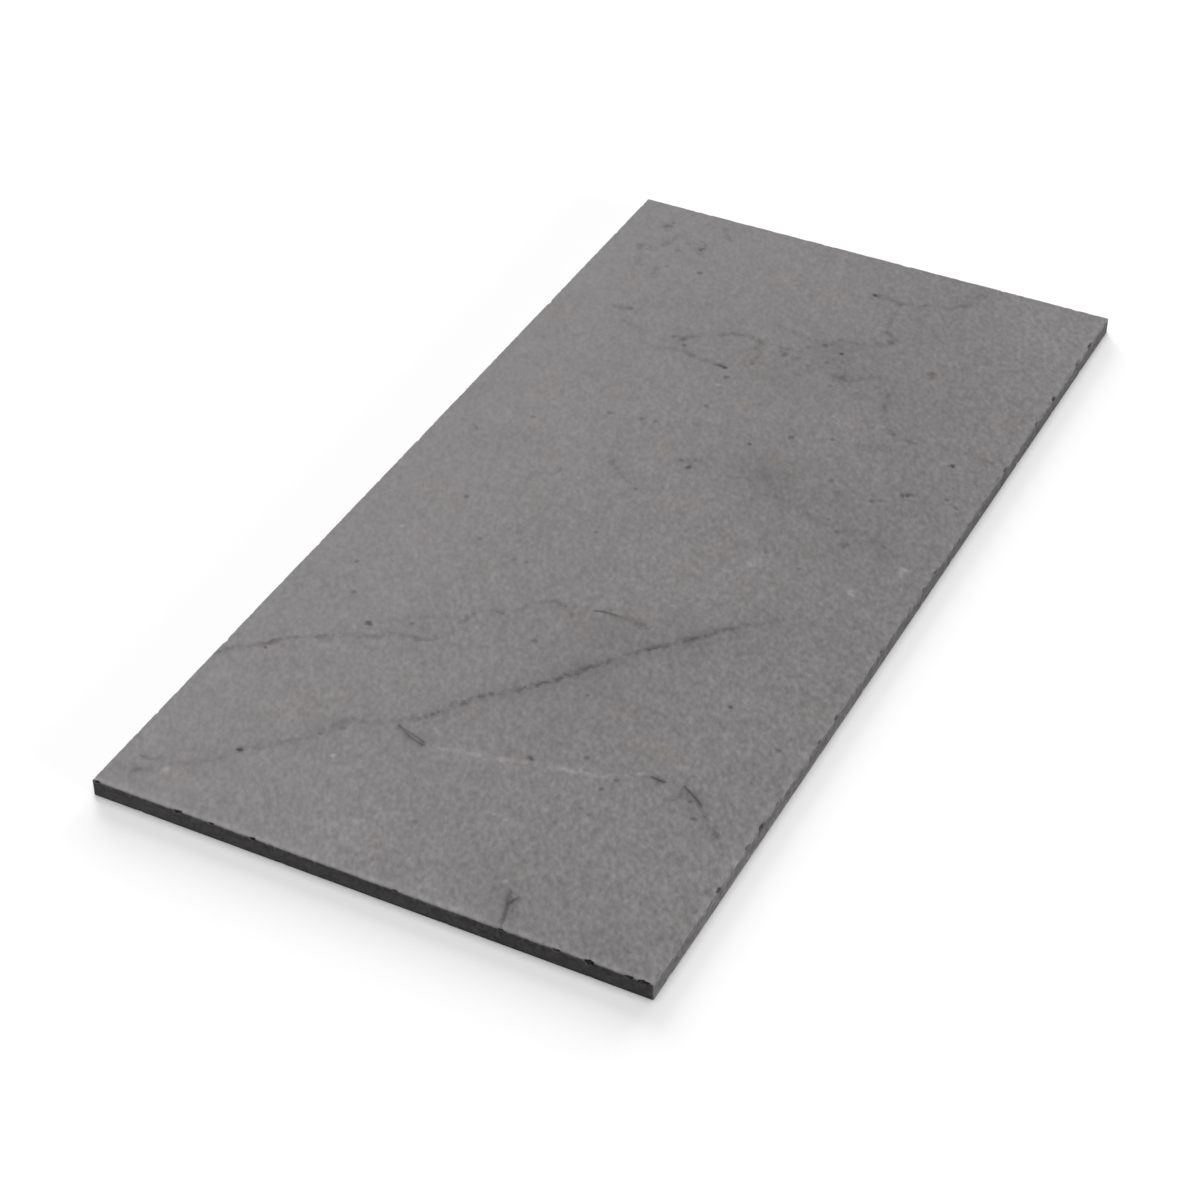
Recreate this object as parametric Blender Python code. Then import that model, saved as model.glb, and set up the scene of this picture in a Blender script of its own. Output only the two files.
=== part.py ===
"""Limestone tile: one sawn and honed rectangular slab of dark grey limestone.

Units are metres and +Z is up. The origin is at the centre of the underside. +X runs across the tile, +Y runs
along it, and the honed face looks up. The slab is one solid: a box with eased corners and arrises, from which
the bites along its edges and the pits and open fissures of its face are cut.
"""

import math
import random

import bmesh
import bpy
from mathutils import Matrix, Vector

# The slab
WIDTH = 0.305
LENGTH = 0.610
THICKNESS = 0.0095
CORNER_EASE = 0.0014
ARRIS_EASE = 0.0005

# Bites broken out of the upper arris, edge by edge: (place along the edge, length, reach into the face)
FRONT_BITES = (
    (-0.149, 0.0030, 0.0008),
    (-0.103, 0.0052, 0.0012),
    (-0.084, 0.0042, 0.0009),
    (-0.060, 0.0046, 0.0012),
    (0.018, 0.0034, 0.0007),
    (0.074, 0.0040, 0.0009),
    (0.103, 0.0044, 0.0009),
    (0.120, 0.0056, 0.0016),
    (0.140, 0.0050, 0.0010),
    (0.147, 0.0060, 0.0013),
)
RIGHT_BITES = (
    (-0.236, 0.0040, 0.0013),
    (-0.204, 0.0050, 0.0009),
    (-0.188, 0.0052, 0.0015),
    (-0.170, 0.0036, 0.0008),
    (-0.120, 0.0046, 0.0010),
    (-0.099, 0.0048, 0.0011),
    (-0.042, 0.0034, 0.0007),
    (0.016, 0.0040, 0.0009),
    (0.032, 0.0042, 0.0010),
    (0.135, 0.0054, 0.0010),
    (0.184, 0.0044, 0.0009),
    (0.212, 0.0046, 0.0015),
    (0.251, 0.0048, 0.0010),
    (0.273, 0.0056, 0.0013),
)
BACK_BITES = (
    (-0.118, 0.0042, 0.0009),
    (-0.061, 0.0034, 0.0007),
    (0.023, 0.0048, 0.0011),
    (0.086, 0.0036, 0.0008),
    (0.133, 0.0044, 0.0009),
)
LEFT_BITES = (
    (-0.248, 0.0040, 0.0008),
    (-0.185, 0.0050, 0.0011),
    (-0.093, 0.0036, 0.0007),
    (0.014, 0.0044, 0.0009),
    (0.098, 0.0034, 0.0007),
    (0.172, 0.0052, 0.0012),
    (0.261, 0.0040, 0.0008),
)
BITE_DROP = 0.8
UNDERSIDE_BITE_SPACING = 0.062
UNDERSIDE_BITE_LENGTH = (0.0035, 0.0080)
UNDERSIDE_BITE_REACH = (0.0008, 0.0018)

# Pits in the honed face: (x, y, length, width, depth, turn of the length from +X in degrees)
PITS = (
    (-0.131, -0.175, 0.0042, 0.0023, 0.0010, 75),
    (-0.030, 0.156, 0.0072, 0.0025, 0.0011, -12),
    (0.018, 0.266, 0.0040, 0.0026, 0.0010, -20),
    (0.026, 0.199, 0.0028, 0.0021, 0.0008, 20),
    (0.141, 0.089, 0.0046, 0.0024, 0.0012, -40),
    (0.126, 0.124, 0.0034, 0.0019, 0.0009, -30),
    (0.034, 0.110, 0.0030, 0.0021, 0.0008, 10),
    (0.016, 0.093, 0.0032, 0.0019, 0.0008, -35),
    (0.093, -0.180, 0.0066, 0.0019, 0.0010, -4),
    (0.030, -0.195, 0.0050, 0.0016, 0.0008, -15),
    (-0.101, -0.254, 0.0034, 0.0021, 0.0009, 40),
    (0.065, 0.007, 0.0030, 0.0018, 0.0008, -50),
    (0.081, 0.204, 0.0034, 0.0020, 0.0008, -60),
    (-0.092, -0.141, 0.0029, 0.0021, 0.0008, 0),
    (0.102, -0.116, 0.0030, 0.0015, 0.0007, -30),
    (-0.071, -0.226, 0.0032, 0.0018, 0.0007, 15),
    (-0.040, 0.190, 0.0028, 0.0020, 0.0007, 25),
    (0.037, 0.263, 0.0026, 0.0018, 0.0007, 60),
    (0.046, -0.094, 0.0034, 0.0019, 0.0008, 50),
    (0.008, -0.146, 0.0032, 0.0018, 0.0008, 45),
)

# Open fissures in the honed face: (name, half width, depth, route of (x, y) points)
FISSURES = (
    ("scar", 0.00085, 0.0011, ((-0.041, -0.202), (-0.033, -0.205), (-0.026, -0.208), (-0.020, -0.210))),
    ("front_crack", 0.00080, 0.0014, ((0.063, -0.277), (0.067, -0.282), (0.070, -0.291), (0.073, -0.308))),
    ("right_crack", 0.00085, 0.0012, ((0.106, -0.179), (0.110, -0.181), (0.114, -0.183), (0.118, -0.187))),
    ("arc_crack", 0.00070, 0.0009, ((0.007, -0.079), (0.010, -0.077), (0.014, -0.076), (0.019, -0.076))),
    ("back_crack", 0.00060, 0.0008, ((-0.056, 0.161), (-0.050, 0.159), (-0.045, 0.158), (-0.039, 0.157))),
)
FISSURE_END_RADIUS = 0.2

CUTTER_ROUGHNESS = 0.16
CUTTER_SUBDIVISIONS = 2
SEED = 12

STONE_COLOUR = (0.222, 0.214, 0.218, 1.0)
STONE_ROUGHNESS = 0.62


def clear_scene():
    """Removes every object of the startup scene."""
    for obj in list(bpy.data.objects):
        bpy.data.objects.remove(obj)


def new_collection(name):
    """Makes a collection in the scene."""
    collection = bpy.data.collections.new(name)
    bpy.context.scene.collection.children.link(collection)
    return collection


def stone_material():
    """Matte dark grey limestone."""
    material = bpy.data.materials.new("honed_limestone")
    material.use_nodes = True
    shader = material.node_tree.nodes["Principled BSDF"]
    shader.inputs["Base Color"].default_value = STONE_COLOUR
    shader.inputs["Roughness"].default_value = STONE_ROUGHNESS
    shader.inputs["Metallic"].default_value = 0.0
    return material


def link_mesh(bm, name, collection):
    """Turns a bmesh into an object of the collection."""
    mesh = bpy.data.meshes.new(name)
    bm.to_mesh(mesh)
    bm.free()
    obj = bpy.data.objects.new(name, mesh)
    collection.objects.link(obj)
    return obj


def make_slab(collection):
    """The plain sawn slab: a box whose upright corners are rounded and whose arrises are eased."""
    bm = bmesh.new()
    bmesh.ops.create_cube(bm, size=1.0, matrix=Matrix.Diagonal((WIDTH, LENGTH, THICKNESS, 1.0)))
    upright = [edge for edge in bm.edges if abs(edge.verts[0].co.z - edge.verts[1].co.z) > THICKNESS / 2]
    rounding = {"profile": 0.5, "affect": "EDGES", "material": -1}
    bmesh.ops.bevel(bm, geom=upright, offset=CORNER_EASE, segments=3, **rounding)
    rims = [edge for edge in bm.edges if abs(edge.verts[0].co.z - edge.verts[1].co.z) < THICKNESS / 2]
    bmesh.ops.bevel(bm, geom=rims, offset=ARRIS_EASE, segments=2, **rounding)
    slab = link_mesh(bm, "limestone_tile", collection)
    slab.location.z = THICKNESS / 2
    return slab


def make_broken_ball(name, half_sizes, rng, collection):
    """A cutter for a bite or a pit: an unevenly faceted ball of the given half sizes."""
    bm = bmesh.new()
    bmesh.ops.create_icosphere(bm, subdivisions=CUTTER_SUBDIVISIONS, radius=1.0)
    for vert in bm.verts:
        vert.co *= 1.0 + rng.uniform(-CUTTER_ROUGHNESS, CUTTER_ROUGHNESS)
    bmesh.ops.scale(bm, vec=half_sizes, verts=bm.verts)
    ball = link_mesh(bm, name, collection)
    ball.hide_render = True
    ball.display_type = "WIRE"
    return ball


def cut_upper_bites(rng, collection):
    """Places a cutter on the upper arris for each listed bite of the four edges."""
    half_width, half_length = WIDTH / 2, LENGTH / 2
    edges = (
        ("front", FRONT_BITES, lambda along: (along, -half_length), 0.0),
        ("right", RIGHT_BITES, lambda along: (half_width, along), math.pi / 2),
        ("back", BACK_BITES, lambda along: (along, half_length), 0.0),
        ("left", LEFT_BITES, lambda along: (-half_width, along), math.pi / 2),
    )
    for edge_name, bites, place, turn in edges:
        for number, (along, length, reach) in enumerate(bites):
            half_sizes = (length / 2, reach, reach * BITE_DROP)
            ball = make_broken_ball(f"{edge_name}_bite_{number}", half_sizes, rng, collection)
            ball.location = (*place(along), THICKNESS)
            ball.rotation_euler.z = turn


def cut_underside_bites(rng, collection):
    """Places cutters at uneven steps round the lower arris, where the saw breaks out of the stone."""
    half_width, half_length = WIDTH / 2, LENGTH / 2
    corners = (
        Vector((-half_width, -half_length, 0.0)),
        Vector((half_width, -half_length, 0.0)),
        Vector((half_width, half_length, 0.0)),
        Vector((-half_width, half_length, 0.0)),
    )
    for side, start in enumerate(corners):
        run = corners[(side + 1) % len(corners)] - start
        count = int(run.length / UNDERSIDE_BITE_SPACING)
        for number in range(count):
            along = (number + rng.uniform(0.2, 0.8)) / count
            reach = rng.uniform(*UNDERSIDE_BITE_REACH)
            half_sizes = (rng.uniform(*UNDERSIDE_BITE_LENGTH) / 2, reach, reach * BITE_DROP)
            ball = make_broken_ball(f"under_bite_{side}_{number}", half_sizes, rng, collection)
            ball.location = start + run * along
            ball.rotation_euler.z = math.atan2(run.y, run.x)


def cut_pits(rng, collection):
    """Places a cutter in the honed face for each pit."""
    for number, (x, y, length, width, depth, turn) in enumerate(PITS):
        half_sizes = (length / 2, width / 2, depth)
        ball = make_broken_ball(f"pit_{number}", half_sizes, rng, collection)
        ball.location = (x, y, THICKNESS)
        ball.rotation_euler.z = math.radians(turn)


def cut_fissure(name, half_width, depth, route, collection):
    """Makes the cutter of an open crack: a four-sided tube along the route, thin at both ends."""
    curve = bpy.data.curves.new(name, "CURVE")
    curve.dimensions = "3D"
    curve.bevel_depth = half_width
    curve.bevel_resolution = 0
    curve.use_fill_caps = True
    spline = curve.splines.new("POLY")
    spline.points.add(len(route) - 1)
    for point, (x, y) in zip(spline.points, route):
        point.co = (x, y, 0.0, 1.0)
    for end in (spline.points[0], spline.points[-1]):
        end.radius = FISSURE_END_RADIUS
    guide = bpy.data.objects.new(name, curve)
    collection.objects.link(guide)
    bpy.context.view_layer.update()
    evaluated = guide.evaluated_get(bpy.context.evaluated_depsgraph_get())
    bm = bmesh.new()
    bm.from_mesh(bpy.data.meshes.new_from_object(evaluated))
    bpy.data.objects.remove(guide)
    bmesh.ops.remove_doubles(bm, verts=bm.verts, dist=1e-6)
    bmesh.ops.scale(bm, vec=(1.0, 1.0, depth / half_width), verts=bm.verts)
    blade = link_mesh(bm, name, collection)
    blade.location.z = THICKNESS
    blade.hide_render = True
    blade.display_type = "WIRE"


def main():
    clear_scene()
    rng = random.Random(SEED)
    tile_parts = new_collection("limestone_tile")
    cutters = new_collection("cutters")
    slab = make_slab(tile_parts)
    slab.data.materials.append(stone_material())
    cut_upper_bites(rng, cutters)
    cut_underside_bites(rng, cutters)
    cut_pits(rng, cutters)
    for fissure in FISSURES:
        cut_fissure(*fissure, cutters)
    breakage = slab.modifiers.new("breakage", "BOOLEAN")
    breakage.operation = "DIFFERENCE"
    breakage.operand_type = "COLLECTION"
    breakage.collection = cutters
    breakage.solver = "EXACT"


main()
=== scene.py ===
# %% [markdown]
# # A honed limestone tile
# This lesson dresses one limestone tile: a slab 305 mm wide, 610 mm long and 9.5 mm thick. A real one is
# sawn from a block, ground flat and honed to a satin finish, and then cut to size, which leaves the four
# edges sawn and their arrises slightly broken.
#
# The plain solid is already packed. Here one finely divided mesh takes its place. The broken arrises, the
# pits and the open cracks are real shape. The seams, clouds and grain are colour only, as they are in
# polished stone.

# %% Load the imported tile
import math
import random

import bmesh
import bpy
import numpy as np
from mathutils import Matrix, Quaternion, Vector, noise


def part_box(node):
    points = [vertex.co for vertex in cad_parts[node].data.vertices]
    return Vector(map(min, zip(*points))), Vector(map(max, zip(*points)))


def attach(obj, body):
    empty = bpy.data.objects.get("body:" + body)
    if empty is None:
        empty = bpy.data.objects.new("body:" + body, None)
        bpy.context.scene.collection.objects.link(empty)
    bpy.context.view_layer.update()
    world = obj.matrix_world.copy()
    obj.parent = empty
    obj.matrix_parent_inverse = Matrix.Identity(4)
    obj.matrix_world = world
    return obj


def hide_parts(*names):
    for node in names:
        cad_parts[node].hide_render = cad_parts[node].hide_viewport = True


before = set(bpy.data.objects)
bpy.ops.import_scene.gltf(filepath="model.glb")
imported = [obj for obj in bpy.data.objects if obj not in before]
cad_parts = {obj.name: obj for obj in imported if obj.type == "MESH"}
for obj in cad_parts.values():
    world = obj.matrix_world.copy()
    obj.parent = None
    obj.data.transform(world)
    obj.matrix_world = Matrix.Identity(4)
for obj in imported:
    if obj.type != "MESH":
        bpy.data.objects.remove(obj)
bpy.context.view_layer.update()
low_corner, high_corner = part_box("limestone_tile")
print("packed tile from", tuple(low_corner), "to", tuple(high_corner))

# %% [markdown]
# ## Measures
# Everything on the tile is measured in millimetres from the middle of its length and width, as a mason
# would chalk it out. One factor turns millimetres into metres at the end.

# %% The tile's measures in millimetres
MM = 0.001
WIDTH = 305.0
LENGTH = 610.0
THICKNESS = 9.5
CORNER_EASE = 0.6
ARRIS_EASE = 0.5
LOWER_ARRIS_EASE = 0.15
HALF_WIDTH = WIDTH / 2
HALF_LENGTH = LENGTH / 2
SEED = 12
print("tile", WIDTH, "x", LENGTH, "x", THICKNESS, "mm")

# %% [markdown]
# ## Where the stone is broken
# The saw and the handling knock small shells out of the arrises. Each bite is its place along the edge, its
# length and its reach into the face. The plain solid breaks in the same places, and there each bite reaches
# further into the face. A list is used rather than chance, because the big bites are what the eye checks
# first.

# %% Bites out of the upper and the lower arris
UPPER_BITES = {
    "front": (
        (-150, 3.6, 1.2), (-103, 5.2, 1.2), (-84, 4.2, 0.9), (-60, 4.6, 1.2), (18, 3.4, 0.7), (74, 4, 0.9),
        (103, 4.4, 0.9), (120, 5.6, 1.6), (140, 5, 1), (147, 6, 1.3),
    ),
    "right": (
        (-236, 4, 1.3), (-204, 5, 0.9), (-188, 5.2, 1.5), (-170, 3.6, 0.8), (-120, 4.6, 1), (-99, 4.8, 1.1),
        (-42, 3.4, 0.7), (16, 4, 0.9), (32, 4.2, 1), (135, 5.4, 1), (184, 4.4, 0.9), (212, 4.6, 1.5),
        (251, 4.8, 1), (273, 5.6, 1.3),
    ),
    "back": ((-118, 4.2, 0.9), (-61, 3.4, 0.7), (23, 4.8, 1.1), (86, 3.6, 0.8), (133, 4.4, 0.9)),
    "left": (
        (-248, 4, 0.8), (-185, 5, 1.1), (-93, 3.6, 0.7), (14, 4.4, 0.9), (98, 3.4, 0.7), (172, 5.2, 1.2),
        (261, 4, 0.8),
    ),
}
LOWER_BITES = {
    "front": ((-125.7, 4.8, 0.6), (-44.8, 4.4, 0.5), (43.9, 5.12, 0.6), (120.5, 3.36, 0.6)),
    "right": (
        (-287.7, 6, 0.8), (-196.6, 5.6, 0.5), (-120.2, 4.24, 0.8), (-63.5, 3.76, 0.7), (15.7, 4.16, 0.7),
        (57.5, 5.92, 0.65), (155.2, 3.84, 0.7), (211.3, 4.64, 0.55), (258.3, 6.24, 0.55),
    ),
    "back": ((126.9, 3.6, 0.5), (40.4, 5.36, 0.85), (-35, 3.68, 0.85), (-110.2, 5.76, 0.6)),
    "left": (
        (288.8, 3.52, 0.55), (183.1, 3.36, 0.8), (127.1, 4.32, 0.85), (70.4, 3.52, 0.55),
        (-8.4, 4.88, 0.85), (-52, 4.96, 0.85), (-132, 5.2, 0.75), (-191.4, 6.32, 0.85),
        (-263.1, 4.08, 0.65),
    ),
}
BITE_IN, BITE_DROP = 0.75, 1.4
for arris, bites in (("upper", UPPER_BITES), ("lower", LOWER_BITES)):
    print(sum(map(len, bites.values())), "bites out of the", arris, "arris")

# %% [markdown]
# ## Pits and open cracks
# Honing opens small hollows where shell or clay drops out of the stone, and a few seams gape for a
# centimetre or two. A pit is an oval bowl: its place, length, width, depth and the turn of its length. A
# crack is a shallow groove along a route, with its half width and depth, and each place says how much dirt
# and painted shade lie in it there.

# %% Pits and cracks of the honed face, the dirt and painted shade in hundredths
PITS = (
    (-131, -175, 4.8, 2.6, 0.3, 75), (18, 266, 4.6, 3, 0.3, -20), (26, 199, 3.2, 2.5, 0.25, 20),
    (141, 89, 5.2, 2.8, 0.35, -40), (126, 124, 4, 2.3, 0.3, -30), (34, 110, 3.6, 2.5, 0.25, 10),
    (16, 93, 3.8, 2.3, 0.25, -35), (-101, -254, 4, 2.5, 0.28, 40), (65, 7, 3.6, 2.2, 0.25, -50),
    (81, 204, 4, 2.4, 0.25, -60), (-92, -141, 3.4, 2.5, 0.25, 0), (102, -116, 3.4, 1.9, 0.22, -30),
    (-71, -226, 3.6, 2.2, 0.22, 15), (-40, 190, 3.2, 2.4, 0.22, 25), (37, 263, 3, 2.2, 0.22, 60),
    (46, -94, 3.8, 2.3, 0.25, 50), (8, -146, 3.6, 2.2, 0.25, 45),
)
CRACKS = (
    ("scar_upper", 1.15, 0.22, (
        (-41, -202, 35), (-36, -204.5, 42), (-31, -205.5, 36), (-26, -207, 36), (-20, -209.3, 45),
    )),
    ("scar_lower", 1.3, 0.28, (
        (-37, -204.5, 35), (-31, -207.3, 40), (-26, -209, 42), (-21.5, -210.3, 50), (-19.5, -209.3, 45),
    )),
    ("front_crack", 1.3, 0.3, (
        (64, -279, 27), (67, -282, 40), (67, -285, 40), (69, -289, 56), (70, -292, 52), (72, -298, 34),
        (73, -303, 22), (74, -308, 12),
    )),
    ("front_fork", 1.25, 0.22, ((72, -282, 52), (69, -289, 80))),
    ("right_crack", 0.95, 0.28, (
        (105, -178.7, 25), (108, -180, 42), (113, -183, 55), (119, -187, 55), (122, -190.5, 25),
    )),
    ("dash", 1.25, 0.28, ((88, -180.3, 44), (94, -181, 60), (99, -181, 44))),
    ("short", 1.5, 0.28, ((27.5, -193.3, 48), (31, -195, 60), (34, -196.2, 40))),
    ("arc_crack", 0.95, 0.2, ((4.5, -78.8, 50), (10, -77, 60), (14, -76.5, 52), (20, -77, 22))),
    ("back_crack", 1.3, 0.25, ((-36.5, 156, 35), (-31, 156, 50), (-26.5, 155, 40))),
)
print(len(PITS), "pits and", len(CRACKS), "open cracks")

# %% [markdown]
# ## Seams in the stone
# Limestone carries dark stylolite seams, where clay was left as the rock pressed together, and thin pale
# threads of calcite. They are only colour here, apart from the few that gape. Each seam is its half width
# and a route of places, each with how strongly it shows there. Drawing the main ones keeps the
# tile's own character, and chance breaks the routes into uneven steps afterwards.

# %% Dark seams: name, half width and route of (x, y, strength in hundredths)
DARK_SEAMS = (
    ("main", 0.6, (
        (101, -37, 12), (88, -49, 14), (75, -61, 37), (65, -71, 58), (57, -82, 47), (46, -93, 48),
        (37, -105, 32), (27, -117, 48), (19, -130, 44), (6, -147, 63), (-4, -157, 66), (-11, -162, 40),
        (-18, -172, 51), (-24, -180, 61), (-29, -189, 53), (-35, -195, 21), (-52, -207, 11),
        (-65, -210, 24), (-71, -227, 24), (-77, -232, 17), (-86, -242, 17), (-100, -254, 20),
        (-109, -267, 17), (-136, -289, 20), (-141, -292, 17),
    )),
    ("scar_upper", 0.45, (
        (-41, -202, 23), (-36, -205, 23), (-31, -205, 15), (-26, -206, 18), (-20, -209, 26),
    )),
    ("scar_lower", 0.5, (
        (-36, -205, 17), (-31, -208, 22), (-26, -210, 19), (-22, -211, 17), (-20, -209, 22),
    )),
    ("left", 0.55, (
        (-152, -196, 35), (-147, -190, 36), (-143, -187, 34), (-136, -181, 22), (-131, -177, 45),
        (-127, -170, 25), (-114, -163, 29), (-107, -158, 40), (-95, -152, 25), (-87, -149, 22),
        (-77, -141, 22), (-63, -139, 35), (-54, -133, 38), (-51, -126, 24), (-52, -120, 19),
        (-48, -106, 34), (-41, -101, 28), (-31, -100, 29), (-28, -93, 22), (-26, -87, 17), (-15, -80, 25),
        (-8, -83, 32), (0, -87, 26),
    )),
    ("left_side", 0.65, ((-94, -140, 16), (-82, -131, 7), (-71, -123, 15), (-61, -117, 6), (-55, -113, 5))),
    ("arc", 0.7, ((8, -78, 26), (11, -76, 26), (16, -77, 26), (30, -76, 26), (37, -80, 46), (44, -84, 38))),
    ("dash", 1, ((89, -180, 30), (94, -181, 30), (98, -181, 30))),
    ("right_crack", 0.5, (
        (106, -179, 20), (108, -180, 25), (113, -183, 30), (119, -187, 30), (121, -190, 34),
        (129, -198, 30), (134, -203, 42), (139, -205, 30),
    )),
    ("right_branch", 0.6, ((110, -183, 25), (107, -187, 33), (106, -193, 25))),
    ("short", 0.8, ((29, -194, 59), (32, -196, 53))),
    ("front_crack", 0.7, (
        (64, -279, 11), (67, -282, 20), (67, -285, 16), (69, -289, 22), (70, -292, 22), (72, -298, 20),
        (73, -303, 16), (74, -306, 16),
    )),
    ("front_fork", 0.65, ((71, -283, 39), (69, -289, 50))),
    ("back_right", 0.7, (
        (78, 297, 25), (74, 287, 32), (72, 280, 37), (64, 272, 17), (58, 271, 20), (45, 268, 34),
        (37, 263, 24), (26, 266, 27), (19, 266, 49),
    )),
    ("back_stem", 0.5, (
        (35, 256, 10), (38, 246, 20), (41, 232, 37), (46, 228, 27), (50, 225, 21), (47, 220, 24),
    )),
    ("back_rise", 0.7, (
        (-23, 210, 14), (-9, 208, 17), (6, 205, 16), (19, 206, 27), (20, 211, 29), (30, 213, 18),
        (44, 218, 22), (47, 220, 29),
    )),
    ("loop", 0.7, (
        (-16, 166, 17), (-17, 172, 19), (-18, 180, 20), (-20, 187, 37), (-24, 191, 31), (-33, 191, 31),
        (-40, 190, 36), (-47, 185, 15), (-56, 180, 14), (-62, 175, 30), (-63, 169, 17), (-60, 164, 20),
        (-55, 159, 27), (-47, 157, 31), (-33, 157, 34),
    )),
    ("loop_side", 0.55, ((-9, 191, 50), (-6, 188, 50), (-3, 180, 33))),
    ("left_high", 0.75, ((-120, 183, 25), (-117, 186, 21), (-109, 185, 18), (-106, 190, 27))),
    ("left_low", 0.7, (
        (-106, 178, 15), (-105, 175, 30), (-95, 172, 13), (-89, 169, 18), (-84, 159, 11), (-75, 156, 14),
        (-64, 159, 18), (-57, 160, 19),
    )),
    ("mid_hook", 0.75, (
        (29, 174, 14), (36, 177, 43), (40, 176, 30), (46, 181, 12), (52, 187, 20), (58, 186, 14),
    )),
    ("right_fall", 0.5, (
        (68, 180, 15), (67, 170, 27), (70, 160, 33), (73, 151, 17), (81, 141, 25), (84, 139, 38),
        (90, 137, 31), (101, 135, 43),
    )),
    ("right_out", 0.7, ((110, 140, 10), (122, 138, 12), (134, 137, 12), (145, 136, 30), (152, 134, 27))),
    ("high_dash", 0.8, ((79, 206, 25), (81, 202, 28), (83, 197, 15))),
    ("upright_dash", 0.7, ((113, 92, 45), (113, 86, 78), (113, 82, 45))),
    ("right_thread", 0.7, ((69, 117, 32), (78, 120, 26), (85, 122, 30), (92, 125, 29))),
    ("mid_thread", 0.85, ((-14, 61, 20), (-6, 65, 28), (3, 69, 16))),
    ("low_thread", 0.5, (
        (37, 53, 22), (49, 55, 21), (61, 52, 25), (76, 46, 15), (88, 44, 12), (104, 46, 13), (110, 44, 30),
        (116, 42, 13), (122, 37, 28),
    )),
    ("slant_thread", 0.6, (
        (-47, 46, 24), (-45, 44, 36), (-40, 38, 35), (-30, 32, 17), (-23, 26, 39), (-21, 24, 24),
    )),
    ("left_tick", 0.8, ((-133, 41, 41), (-130, 38, 57), (-126, 36, 41))),
    ("drop", 0.6, ((-69, 27, 26), (-68, 21, 32), (-69, 17, 16))),
    ("right_tick", 0.65, ((58, 18, 18), (61, 12, 30), (63, 7, 42))),
    ("corner_a", 0.9, ((-127, 291, 42), (-125, 286, 42), (-127, 281, 42), (-128, 276, 49))),
    ("corner_b", 0.7, ((-132, 256, 34), (-132, 252, 30), (-131, 246, 17))),
    ("corner_c", 0.65, (
        (-115, 276, 24), (-118, 269, 22), (-119, 262, 29), (-123, 258, 14), (-125, 254, 27),
        (-118, 254, 25),
    )),
    ("corner_d", 0.65, ((-108, 272, 20), (-106, 268, 17), (-101, 264, 24), (-97, 263, 20), (-93, 260, 17))),
    ("corner_e", 0.85, ((-103, 274, 23), (-98, 272, 28), (-97, 269, 33), (-100, 265, 28))),
    ("corner_f", 0.65, ((-95, 296, 27), (-90, 289, 21), (-83, 281, 21))),
    ("corner_g", 0.65, ((-113, 236, 36), (-111, 229, 30), (-109, 222, 36))),
    ("corner_h", 0.7, ((-130, 242, 21), (-124, 235, 21), (-120, 232, 32))),
    ("front_left_a", 0.65, ((-141, -292, 17), (-136, -289, 33), (-134, -288, 21))),
    ("front_left_b", 0.6, ((-143, -279, 48), (-136, -278, 29), (-130, -278, 29))),
)
print(len(DARK_SEAMS), "dark seams with", sum(len(route) for _, _, route in DARK_SEAMS), "places")

# %% Pale calcite threads
PALE_SEAMS = (
    ("calcite", 0.55, (
        (-20, -210, 35), (-13, -209, 40), (-6, -207, 20), (3, -205, 50), (9, -204, 60), (18, -202.5, 55),
        (26, -200, 25), (36, -196, 50), (46, -195, 55), (58, -193, 55), (67, -191.3, 45), (76, -186, 20),
        (84, -181, 50),
    )),
    ("light_a", 0.6, ((136, 29, 60), (137, 21, 70), (137, 15, 40))),
    ("light_b", 0.7, ((117, -4, 70), (124, -4, 70))),
    ("light_c", 0.6, ((65, 5, 50), (63, -2, 40), (63, -9, 40))),
    ("light_d", 0.8, ((-148, 240, 70), (-143, 244, 70))),
    ("light_e", 0.8, ((-127, -283, 90), (-122, -281, 80))),
)
print(len(PALE_SEAMS), "pale threads")

# %% [markdown]
# ## Spots
# Between the seams lie small round marks: dark ones where clay gathered or a shell dissolved, and pale ones
# where calcite filled a shell. Each is a place, a radius and a strength.

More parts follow.
